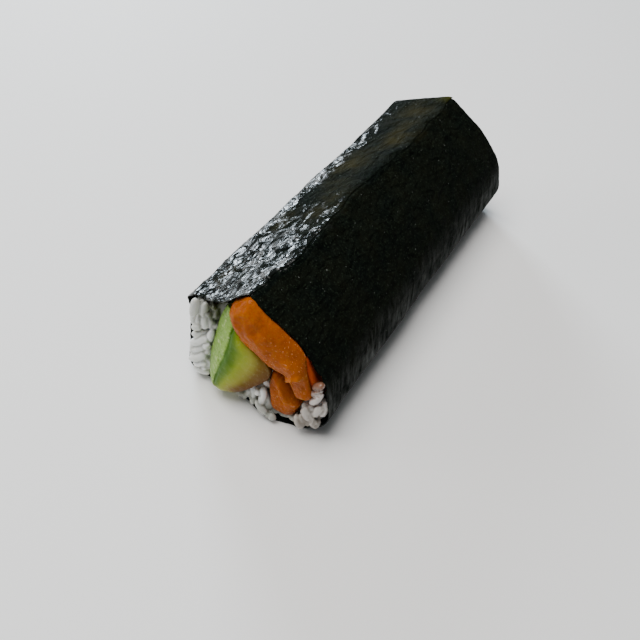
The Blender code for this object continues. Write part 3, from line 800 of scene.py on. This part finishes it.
avocado = {
    # height, x of the left side, the edge and the right side, how far each stands out of the roll
    "levels": ((11.6, -8.8, -7.8, -7.7, -0.3, 0.2, 0.2), (9.3, -9.8, -7.4, -7.3, -0.1, 1.2, 1.2),
               (6.2, -10.6, -6.0, -2.9, 0.2, 2.8, 2.2), (3.0, -11.2, -5.9, 2.4, 0.3, 3.6, 2.4),
               (0.0, -11.7, -6.4, 3.8, 0.7, 4.1, 2.7), (-3.0, -12.0, -7.3, 3.0, 1.3, 4.6, 3.2),
               (-6.0, -12.0, -8.0, 0.9, 1.8, 4.8, 3.8), (-9.0, -11.8, -8.7, -1.7, 2.3, 4.8, 4.1),
               (-11.3, -11.1, -8.9, -4.2, 2.7, 4.5, 4.0),
               (-12.7, -10.0, -8.6, -6.6, 3.0, 3.7, 3.5)),
    "cells": (56, 84),
    "edgeColumn": 22,
    "bulge": 0.5,
    "edgeDip": 0.22,
    # how far the front leans to the salmon, then height, reach and share of each place that does
    "lean": (2.0, (9.6, 2.4, 1.0), (-0.5, 3.2, 0.45)),
}


def avocadoLevel(row, rows):
    # the level at a row, eased through the levels around it
    levels = avocado["levels"]
    place = (len(levels) - 1) * row / rows
    number = min(int(place), len(levels) - 2)
    share = place - number
    before, start = levels[max(number - 1, 0)], levels[number]
    end, after = levels[number + 1], levels[min(number + 2, len(levels) - 1)]
    values = []
    for p0, p1, p2, p3 in zip(before, start, end, after):
        slope, bend = p2 - p0, 2 * p0 - 5 * p1 + 4 * p2 - p3
        values.append(0.5 * (2 * p1 + slope * share + bend * share ** 2
                             + (3 * p1 - p0 - 3 * p2 + p3) * share ** 3))
    return values


def makeAvocado():
    columns, rows = avocado["cells"]
    edgeColumn = avocado["edgeColumn"]
    levels = [avocadoLevel(row, rows) for row in range(rows + 1)]

    def sideShare(column):
        # share of the way over the peeled side, or over the cut side past the edge
        if column <= edgeColumn:
            return True, column / edgeColumn
        return False, (column - edgeColumn) / (columns - edgeColumn)

    def insideShare(column, row):
        return ease(min(column, columns - column, row, rows - row) / 6)

    def sectionPoint(column, row, lean=0.0):
        height, left, edge, right = levels[row][:4]
        upper, lower = (share * math.exp(-((height - place) / reach) ** 2)
                        for place, reach, share in avocado["lean"][1:])
        edge, right = edge + lean * upper, right + lean * (upper + lower)
        peeled, share = sideShare(column)
        if peeled:
            return left + (edge - left) * share, height
        return edge + (right - edge) * share, height

    def frontPoint(column, row):
        leftOut, edgeOut, rightOut = levels[row][4:]
        x, z = sectionPoint(column, row, avocado["lean"][0])
        peeled, share = sideShare(column)
        start, end = (leftOut, edgeOut) if peeled else (edgeOut, rightOut)
        out = start + (end - start) * share + avocado["bulge"] * math.sin(math.pi * share)
        nearEdge = math.exp(-((column - edgeColumn) / 1.6) ** 2)
        lumps = 0.25 * noise.noise(Vector((x, z, 2)) / 4.0)
        lumps += 0.08 * noise.noise(Vector((x, z, 7)) / 1.2)
        along = -out + avocado["edgeDip"] * nearEdge - lumps * insideShare(column, row)
        return x, along, z

    def backPoint(column, row):
        x, z = sectionPoint(column, row)
        inside = insideShare(column, row)
        lumps = 0.15 * noise.noise(Vector((x, z, 50)) / 3)
        return x, fillingBack + lumps * inside - 0.3 * (1 - inside), z

    # on the cut side the reading reaches the painted brown shade only low down, by the salmon
    def cutShare(column, row):
        peeled, share = sideShare(column)
        return share - 1 if peeled else share * (0.3 + 0.7 * ease(row / rows / 0.55))

    attributes = {"cut": cutShare, "down": lambda column, row: row / rows}
    return makeFilling("avocado", columns, rows, frontPoint, backPoint, attributes)


avocadoFinish = {
    # from the peeled side over the edge to the side of the stone; the last two brown stops are
    # painted shade and a painted reflection of the salmon
    "stops": ((0.0, (0.17, 0.30, 0.05, 1)), (0.42, (0.24, 0.40, 0.07, 1)),
              (0.47, (0.05, 0.145, 0.0004, 1)), (0.52, (0.045, 0.12, 0.0002, 1)),
              (0.60, (0.095, 0.175, 0.0004, 1)), (0.67, (0.25, 0.31, 0.014, 1)),
              (0.76, (0.29, 0.28, 0.032, 1)), (0.87, (0.16, 0.083, 0.001, 1)),
              (1.0, (0.10, 0.031, 0.0002, 1))),
    "foot": (0.42, 0.45, 0.08, 1),
    # pale flecks on the peeled side: painted sparkle
    "paintedSparkle": (0.46, 0.56, 0.24, 1),
    # dark green in the pits of the peeled side: painted shade
    "dentsAndShade": (0.09, 0.19, 0.006, 1),
    "sockets": {"Subsurface Weight": 0.12, "Subsurface Radius": (0.7, 1.0, 0.25),
                "Subsurface Scale": 0.0008, "Specular IOR Level": 0.1,
                "Coat Weight": 0.06, "Coat Roughness": 0.12},
}


def avocadoMaterial():
    # cut runs from -1 on the peeled side through 0 on the edge to 1 by the stone, where the brown
    # is painted shade and a painted reflection of the salmon
    material, tree, shader = newMaterial("avocadoFlesh")
    place = objectPlace(tree)
    cut, down = readAttribute(tree, "cut"), readAttribute(tree, "down")
    cloud = grainNoise(tree, place, 220, 3.0, 0.5)
    fine = grainNoise(tree, place, 1300, 4.0, 0.65)
    dentsAndShade = grainNoise(tree, place, 1050, 2.0, 0.6, 0.3)
    wobble = times(tree, calc(tree, "SUBTRACT", cloud, 0.5), 0.22)
    reading = spread(tree, calc(tree, "ADD", cut, wobble), -1.0, 1.0)
    ramp = addNode(tree, "ShaderNodeValToRGB", {"Fac": reading})
    while len(ramp.color_ramp.elements) < len(avocadoFinish["stops"]):
        ramp.color_ramp.elements.new(0.5)
    for element, (spot, shade) in zip(ramp.color_ramp.elements, avocadoFinish["stops"]):
        element.position = spot
        element.color = shade
    peeled = spread(tree, cut, -0.15, -0.02, 1.0, 0.12)
    colour = ramp.outputs[0]
    for name, share in (
            ("foot", spread(tree, down, 0.82, 0.97, 0.0, 0.85)),
            # painted sparkle on the peeled side
            ("paintedSparkle", times(tree, spread(tree, dentsAndShade, 0.56, 0.68, 0.0, 0.7), peeled)),
            # painted shade in the pits
            ("dentsAndShade", times(tree, spread(tree, dentsAndShade, 0.44, 0.32, 0.0, 0.6), peeled))):
        colour = mixColours(tree, share, colour, avocadoFinish[name])
    normal = addBump(tree, cloud, 0.0003)
    normal = addBump(tree, times(tree, dentsAndShade, peeled), 0.00035, 1.0, normal)
    normal = addBump(tree, fine, 0.0001, 1.0, normal)
    fillSockets(tree, shader, {"Base Color": colour, "Normal": normal,
                               "Roughness": spread(tree, fine, 0.3, 0.7, 0.28, 0.5),
                               **avocadoFinish["sockets"]})
    return material


avocadoSlice = makeAvocado()
avocadoSlice.data.materials.append(avocadoMaterial())
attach(avocadoSlice, "root")
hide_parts("avocado")
print("avocado slice cut")


# rice: a packed core and whole grains at both ends

rice = {
    "core": ((-3.0, 14.0, 1.5), (8.0, 8.4, 6.0), (15.2, -0.5, 8.0), (16.7, -8.6, 5.0),
             (12.4, -14.0, 3.5), (-17.3, -14.0, 2.5), (-16.8, 7.2, 1.5)),
    "coreEnds": (2.4, 101.2),
    "roomGap": 0.12,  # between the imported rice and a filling
    "grainLength": 6.0,
    "grainWidth": 2.35,
    "seed": 23,
    "spacing": 1.75,  # least distance between the middles of two grains
    "halfLengths": (2.5, 3.1),
    "layers": ((-0.6, 150), (1.2, 130)),  # how deep under the surface, and how many are tried for
    "slabs": ((1.4, 4.0), (99.6, 102.4)),  # rice between the grains of each end
    "sticky": 0.26,  # voxel that fuses the grains where they touch
    "speckFaces": 100,
    "seamWidth": 0.5,
    "seamDepth": 0.3,
}
heroGrains = (  # the two tips of each grain that stands out at the open end
    ((-16.2, -1.1, 10.3), (-16.9, -1.4, 4.4)),
    ((-13.9, -0.4, 10.0), (-14.6, -0.6, 5.2)),
    ((-14.4, 0.2, 6.6), (-14.7, -0.5, 0.6)),
    ((-17.4, -0.7, -9.8), (-16.4, -0.6, -6.2)),
    ((-17.4, -0.8, -11.8), (-15.4, -0.7, -13.4)),
    ((-15.3, 0.5, 9.4), (-15.8, 0.4, 4.2)),
    ((-17.7, -1.2, -7.8), (-13.7, -1.1, -3.8)),
    ((-17.3, -1.3, -12.3), (-13.2, -1.2, -9.2)),
    ((-18.0, -0.1, -12.6), (-17.9, -0.2, -8.6)),
    ((17.5, -0.6, -7.8), (17.8, -0.4, -2.8)),
    ((15.9, -0.9, -12.6), (16.9, -0.7, -9.0)),
    ((-17.9, -0.2, -13.9), (-13.6, -0.2, -14.0)),
    ((-18.0, 0.3, 4.2), (-17.8, 0.2, -0.4)),
    ((-13.4, 0.4, 5.4), (-12.6, 0.5, -0.2)),
    ((-12.4, 1.2, 9.8), (-12.9, 1.0, 3.6)),
    ((-17.9, -1.9, -4.6), (-12.9, -1.3, -0.6)),
    ((-17.9, -2.0, -10.6), (-13.2, -1.4, -6.0)),
    ((-17.4, -1.3, -13.2), (-12.6, -1.5, -12.6)),
    ((-17.7, -0.7, -9.2), (-17.5, -0.7, -4.6)),
    ((-15.2, -0.6, -8.8), (-13.0, -0.7, -4.6)),
    ((-16.9, 0.6, 2.6), (-16.5, 0.2, -3.2)),
    ((-5.6, -1.2, -12.7), (-1.4, -1.8, -13.8)),
    ((0.1, -2.0, -7.4), (0.7, -2.1, -12.6)),
    ((1.5, -3.0, -11.0), (5.9, -3.4, -14.4)),
    ((3.0, -2.2, -6.2), (3.1, -2.8, -11.6)),
    ((4.4, -3.3, -13.8), (7.4, -3.0, -13.6)),
    ((9.0, -0.7, -13.2), (12.9, -0.6, -12.7)),
    ((5.6, -0.6, -13.8), (9.8, -0.5, -13.8)),
    ((14.6, -0.5, 0.2), (16.9, -0.3, 2.6)),
    ((14.8, -1.6, -4.4), (17.2, -0.9, 0.6)),
    ((14.6, -1.0, -2.0), (16.6, -0.6, 1.2)),
    ((13.6, -1.9, -5.6), (15.4, -2.2, -9.6)),
    ((15.9, -1.3, -8.0), (17.6, -1.2, -3.4)),
    ((13.7, -1.4, -12.0), (17.2, -1.2, -9.0)),
    ((11.8, -2.2, -9.6), (14.2, -2.8, -12.8)),
    ((13.0, -1.8, -9.0), (13.8, -2.2, -13.0)),
    ((15.0, -1.6, -7.2), (16.4, -1.8, -11.4)),
    ((12.6, -1.0, -7.0), (15.8, -0.8, -5.8)),
)


def fillingOutlines(cornersName):
    left = [Vector((level[1], level[0])) for level in reversed(avocado["levels"])]
    right = [Vector((level[3], level[0])) for level in avocado["levels"]]
    outlines = [left + right]
    for strip in (upperSalmon, lowerSalmon, sideSalmon):
        corners = strip.get(cornersName, strip["corners"])
        outlines.append([sample[0] for sample in roundedLoop(corners, [(6, 6)] * len(corners))])
    return outlines


fillings = fillingOutlines("corners")
frontFillings = fillingOutlines("frontCorners")


def makeGrain():
    bpy.ops.object.select_all(action="DESELECT")
    bpy.ops.mesh.primitive_uv_sphere_add(segments=10, ring_count=8, radius=1)
    grain = bpy.context.object
    editAll(grain)
    width, length = rice["grainWidth"] / 2 * mm, rice["grainLength"] / 2 * mm
    bpy.ops.transform.resize(value=(width, width * 0.86, length))
    bpy.ops.object.mode_set(mode="OBJECT")
    for vertex in grain.data.vertices:
        height = vertex.co.z / length
        fuller = 1.0 + 0.16 * height * height
        vertex.co.x = vertex.co.x * fuller + 0.28 * mm * height * height
        vertex.co.y *= fuller * (1.0 - 0.1 * height)
    bpy.ops.object.shade_smooth()
    return grain


def grainCopies(master, placed):
    copies = []
    draw = random.Random(rice["seed"] + 1)
    for first, second in placed:
        copy = master.copy()
        copy.data = master.data.copy()
        bpy.context.scene.collection.objects.link(copy)
        start, end = toFrame(first), toFrame(second)
        middle = (start + end) / 2
        turn = (end - start).to_track_quat("Z", "Y").to_matrix().to_4x4()
        length = (end - start).length / (rice["grainLength"] * mm)
        thick = draw.uniform(0.92, 1.1)
        size = Matrix.Diagonal((thick, thick * draw.uniform(0.92, 1.05), length, 1))
        spin = Matrix.Rotation(draw.uniform(0, math.tau), 4, "Z")
        copy.data.transform(Matrix.Translation(middle) @ turn @ spin @ size)
        # grains by the salmon on the right are painted darker and salmon-coloured: painted shade
        # and the salmon's colour shining through them
        salmonShadeShare = ease((middle.x / mm - 9.5) / 4) * (0.4 + 0.6 * ease((middle.z / mm - 13) / 4))
        for name, level in (("tone", draw.random()), ("paintedSalmonShade", salmonShadeShare if start.y < 0 else 0.0)):
            setAttribute(copy, name, [level] * len(copy.data.vertices))
        copies.append(copy)
    return copies


def scatterGrains(endPlace, outwardSign, bulge, taken):
    # darts over the rice at one end, layer under layer, clear of the fillings and of the sheet
    draw = random.Random(rice["seed"] + round(endPlace))
    inFront = outwardSign < 0
    outline = [sample[0] for sample in outerLoop(endPlace)]
    wall = 0.72 * sheet["turns"] + 0.4  # room for the turns of the sheet
    half = rice["grainWidth"] / 2
    around = frontFillings if inFront else fillings
    placed = list(taken)
    middles = [(Vector(first) + Vector(second)) / 2 for first, second in placed]
    for depth, count in rice["layers"]:
        for _ in range(count * 14):
            x, z = draw.uniform(-18.5, 18.5), draw.uniform(-15.5, 14.5)
            inside = -outlineDistances(outline, [(x, z)])[0]
            if inside < wall + half * 0.8:
                continue
            if min(outlineDistances(filling, [(x, z)])[0] for filling in around) < half * 0.75:
                continue
            if inFront and 8 < x < 13.5 and z > -10.5:
                continue  # a grain here would stand before the salmon
            out = bulge * ease((inside - 1.5) / 4) - depth - half * 0.3 + draw.uniform(-0.4, 0.4)
            edge = endPlace
            if inFront:
                # it follows the sheet's edge, with a hollow left of the avocado
                edge += 0.3 * frontEdge(x, z)
                out -= 4.0 * ease(1.6 - math.hypot((x + 10.2) / 2.9, (z - 5.6) / 5.4))
                out -= 0.8 if x < -11 else 0.0
            centre = Vector((x, edge + outwardSign * out, z))
            if any((centre - middle).length < rice["spacing"] for middle in middles):
                continue
            upright = 0.9 if x < -11 else 0.0
            for _ in range(7):
                heading = Vector((draw.uniform(-1, 1) * (1 - 0.6 * upright),
                                  draw.uniform(-0.55, 0.55),
                                  draw.uniform(-1, 1) + upright)).normalized()
                reach = heading * draw.uniform(*rice["halfLengths"])
                ends = [centre - reach * 0.8, centre + reach * 0.8]
                flat = [(end.x, end.z) for end in ends]
                if -outlineDistances(outline, flat).max() < wall + half * 0.35:
                    continue
                if any(outlineDistances(filling, flat).min() < half * 0.7 for filling in around):
                    continue
                placed.append((centre - reach, centre + reach))
                middles.append(centre)
                break
    return placed


def grainSeams(spots, placed):
    # 1 where two grains meet and 0 on the back of a grain
    nearest, second = np.full((2, len(spots)), 99.0)
    for tips in placed:
        start, end = (np.array(tip, dtype=float) for tip in tips)
        start, end = start + (end - start) * 0.2, end - (end - start) * 0.2
        way = end - start
        share = np.clip((spots - start) @ way / (way @ way), 0.0, 1.0)
        gap = np.linalg.norm(spots - start - share[:, None] * way, axis=1)
        second = np.minimum(second, np.maximum(nearest, gap))
        nearest = np.minimum(nearest, gap)
    narrow = np.clip(1.0 - (second - nearest) / rice["seamWidth"], 0.0, 1.0)
    return narrow * narrow * (3 - 2 * narrow) * (second < rice["grainWidth"])


def dropCavities(piece):
    # the remesh leaves a few closed specks inside the rice
    editAll(piece)
    bpy.ops.mesh.separate(type="LOOSE")
    bpy.ops.object.mode_set(mode="OBJECT")
    islands = sorted(bpy.context.selected_objects, key=lambda island: len(island.data.polygons))
    body = islands.pop()
    pickOnly(body)
    for island in islands:
        if len(island.data.polygons) < rice["speckFaces"]:
            bpy.data.objects.remove(island, do_unlink=True)
        else:
            island.select_set(True)
    bpy.ops.object.join()
    return body


def shadeAt(spot):
    # how dark the rice lies at the open end: left of the avocado, under the sheet and at the foot
    pocket = ease(1.45 - math.hypot((spot[0] + 10.2) / 4.4, (spot[2] - 8.6) / 7.0))
    top = 0.42 * ease((spot[2] - 1) / 5) * ease((-11 - spot[0]) / 3)
    low = 0.5 * ease((-7 - spot[2]) / 5) * ease((spot[0] + 13) / 3)
    return max(pocket, top, low) * ease((8 - spot[1]) / 4)


def fuseGrains(grains, placed):
    # sticky rice: the grains run together a little where they touch, and keep their own tone and
    # painted salmon shade
    names = ("tone", "paintedSalmonShade")
    finder = kdtree.KDTree(len(grains.data.vertices))
    for number, vertex in enumerate(grains.data.vertices):
        finder.insert(vertex.co, number)
    finder.balance()
    read = {name: [entry.value for entry in grains.data.attributes[name].data] for name in names}
    for start, end in rice["slabs"]:
        slab = makeRiceBody("slab", start, end)
        for name in names:
            setAttribute(slab, name, [0.0] * len(slab.data.vertices))
        pickOnly(grains)
        slab.select_set(True)
        bpy.ops.object.join()
    addModifier(grains, "REMESH", mode="VOXEL", voxel_size=rice["sticky"] * mm,
                use_smooth_shade=True)
    grains = dropCavities(grains)
    addModifier(grains, "SMOOTH", factor=0.5, iterations=2)
    spots = np.array([tuple(vertex.co / mm - rollSeat) for vertex in grains.data.vertices])
    seams = [float(contactAndShade) for contactAndShade in grainSeams(spots, placed)]
    normals = [vertex.normal.copy() for vertex in grains.data.vertices]
    for vertex, normal, contactAndShade in zip(grains.data.vertices, normals, seams):
        vertex.co -= normal * rice["seamDepth"] * mm * contactAndShade
    # the same mask carries painted shade where grains meet
    setAttribute(grains, "contactAndShade", seams)
    setAttribute(grains, "shade", [shadeAt(vertex.co / mm - rollSeat)
                                   for vertex in grains.data.vertices])
    nearest = [finder.find(vertex.co)[1] for vertex in grains.data.vertices]
    for name in names:
        setAttribute(grains, name, [read[name][number] for number in nearest])
    return grains


def makeRiceBody(name, start, end):
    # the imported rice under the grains, with room for the fillings
    steps = [(5, 6)] * len(rice["core"])
    outline = [sample[0] for sample in roundedLoop(rice["core"], steps)]
    core = makePrism(name, outline, start, end)
    for filling in fillings:
        cutter = makePrism("room", grownOutline(filling, rice["roomGap"]), -20, 130)
        pickOnly(core)
        addModifier(core, "BOOLEAN", operation="DIFFERENCE", object=cutter, solver="EXACT")
        bpy.data.objects.remove(cutter, do_unlink=True)
    return core


def grownOutline(outline, growth):
    grown = []
    for number, place in enumerate(outline):
        arriving = (place - outline[number - 1]).normalized()
        leaving = (outline[(number + 1) % len(outline)] - place).normalized()
        heading = (arriving + leaving).normalized()
        outward = Vector((-heading.y, heading.x))
        grown.append(place + outward * growth / max(heading.dot(leaving), 0.5))
    return grown


def makePrism(name, outline, start, end):
    bpy.ops.object.select_all(action="DESELECT")
    bpy.ops.mesh.primitive_circle_add(vertices=len(outline), radius=1, fill_type="NGON")
    piece = bpy.context.object
    piece.name = name
    setPoints(piece, [(spot.x, start, spot.y) for spot in outline])
    editAll(piece)
    bpy.ops.mesh.extrude_region_move(TRANSFORM_OT_translate={"value": (0, (end - start) * mm, 0)})
    bpy.ops.mesh.select_all(action="SELECT")
    bpy.ops.mesh.normals_make_consistent(inside=False)
    bpy.ops.object.mode_set(mode="OBJECT")
    return piece


riceFinish = {
    "clear": (0.60, 0.62, 0.58, 1),
    "white": (0.86, 0.87, 0.84, 1),
    "clouds": (0.86, 0.87, 0.85, 1),
    # painted shade where two grains meet
    "contactAndShade": (0.30, 0.31, 0.26, 1),
    "shade": (0.075, 0.085, 0.038, 1),
    # painted shade, and the salmon's colour shining through grains by the salmon
    "paintedSalmonShade": (0.20, 0.095, 0.055, 1),
    "sockets": {"Subsurface Weight": 0.45, "Subsurface Radius": (1.0, 0.95, 0.8),
                "Subsurface Scale": 0.0016, "Coat Weight": 0.2, "Coat Roughness": 0.2},
}


def riceMaterial():
    material, tree, shader = newMaterial("riceGrain")
    place = objectPlace(tree)
    cloud = grainNoise(tree, place, 420, 3.0, 0.5)
    fine = grainNoise(tree, place, 2200, 3.0, 0.6)
    colour = riceFinish["clear"]
    for name, share in (("white", readAttribute(tree, "tone")),
                        ("clouds", spread(tree, cloud, 0.4, 0.7, 0.0, 0.5)),
                        ("contactAndShade", times(tree, readAttribute(tree, "contactAndShade"), 0.5)),
                        ("shade", readAttribute(tree, "shade")),
                        ("paintedSalmonShade", readAttribute(tree, "paintedSalmonShade"))):
        colour = mixColours(tree, share, colour, riceFinish[name])
    fillSockets(tree, shader, {"Base Color": colour, "Normal": addBump(tree, fine, 0.00006),
                               "Roughness": spread(tree, fine, 0.3, 0.7, 0.3, 0.45),
                               **riceFinish["sockets"]})
    return material


grain = makeGrain()
frontGrains = scatterGrains(0.0, -1.0, 1.1, heroGrains)
backGrains = scatterGrains(rollLength, 1.0, -0.5, ())
copies = grainCopies(grain, frontGrains + backGrains)
bpy.data.objects.remove(grain, do_unlink=True)
pickOnly(copies[0])
for copy in copies:
    copy.select_set(True)
bpy.ops.object.join()
riceGrains = fuseGrains(bpy.context.object, frontGrains + backGrains)
riceGrains.name = riceGrains.data.name = "rice_grains"
riceCore = makeRiceBody("rice_core", *rice["coreEnds"])
for name, level in (("tone", 0.3), ("paintedSalmonShade", 0.0), ("shade", 0.0), ("contactAndShade", 0.0)):
    setAttribute(riceCore, name, [level] * len(riceCore.data.vertices))
riceWhite = riceMaterial()
for piece in (riceGrains, riceCore):
    piece.data.materials.clear()
    piece.data.materials.append(riceWhite)
    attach(piece, "root")
    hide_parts("rice")
print("rice packed:", len(frontGrains), "grains in front,", len(backGrains), "behind,",
      len(riceGrains.data.polygons), "faces")


# floor, light and camera

studio = {
    "floorSize": 24.0,
    "floorColour": (0.92, 0.92, 0.91, 1),
    "floorRoughness": 0.7,
    "skyColour": (0.93, 0.96, 1.0, 1),
    "skyStrength": 0.12,
    "aim": (0, 0, 0.015),
    # place, size, power, colour
    "window": ((-0.66, 0.56, 0.26), (0.26, 0.2), 8.6, (0.78, 0.90, 1.0)),
    "ceiling": ((-0.25, -0.1, 0.95), (0.8, 0.8), 14.5, (1.0, 0.98, 0.96)),
    "frontFill": ((-0.85, -0.4, 0.3), (0.4, 0.4), 2.2, (1.0, 0.98, 0.95)),
}

bpy.ops.object.select_all(action="DESELECT")
bpy.ops.mesh.primitive_grid_add(x_subdivisions=4, y_subdivisions=4, size=studio["floorSize"])
floor = bpy.context.object
floor.name = "floor"
floorPaint, floorTree, floorShader = newMaterial("floorPaint")
fillSockets(floorTree, floorShader, {"Base Color": studio["floorColour"],
                                     "Roughness": studio["floorRoughness"]})
floor.data.materials.append(floorPaint)

for name in ("window", "ceiling", "frontFill"):
    place, size, power, colour = studio[name]
    turn = (Vector(studio["aim"]) - Vector(place)).to_track_quat("-Z", "Y").to_euler()
    bpy.ops.object.light_add(type="AREA", location=place, rotation=turn)
    lamp = bpy.context.object
    lamp.name = name
    lamp.data.shape = "RECTANGLE"
    lamp.data.size, lamp.data.size_y = size
    lamp.data.energy = power
    lamp.data.color = colour

world = bpy.data.worlds.new("studio")
bpy.context.scene.world = world
world.use_nodes = True
fillSockets(world.node_tree, world.node_tree.nodes["Background"],
            {"Color": studio["skyColour"], "Strength": studio["skyStrength"]})

view = {
    "place": (58.053, -97.991, 132.132),
    "turns": (("Z", 24.415), ("X", 44.0), ("Z", 8.0)),  # round, down, and the roll of the camera
    "lens": 43.58,
    "sensorWidth": 36,
    "clipStart": 0.01,
}
bpy.ops.object.camera_add(location=toFrame(view["place"]))
camera = bpy.context.object
camera.name = "photoView"
aiming = Matrix.Identity(3)
for axis, degrees in view["turns"]:
    aiming = aiming @ Matrix.Rotation(math.radians(degrees), 3, axis)
camera.rotation_euler = aiming.to_euler()
camera.data.sensor_width = view["sensorWidth"]
camera.data.lens = view["lens"]
camera.data.clip_start = view["clipStart"]
bpy.context.scene.camera = camera
print("floor, light and camera set")
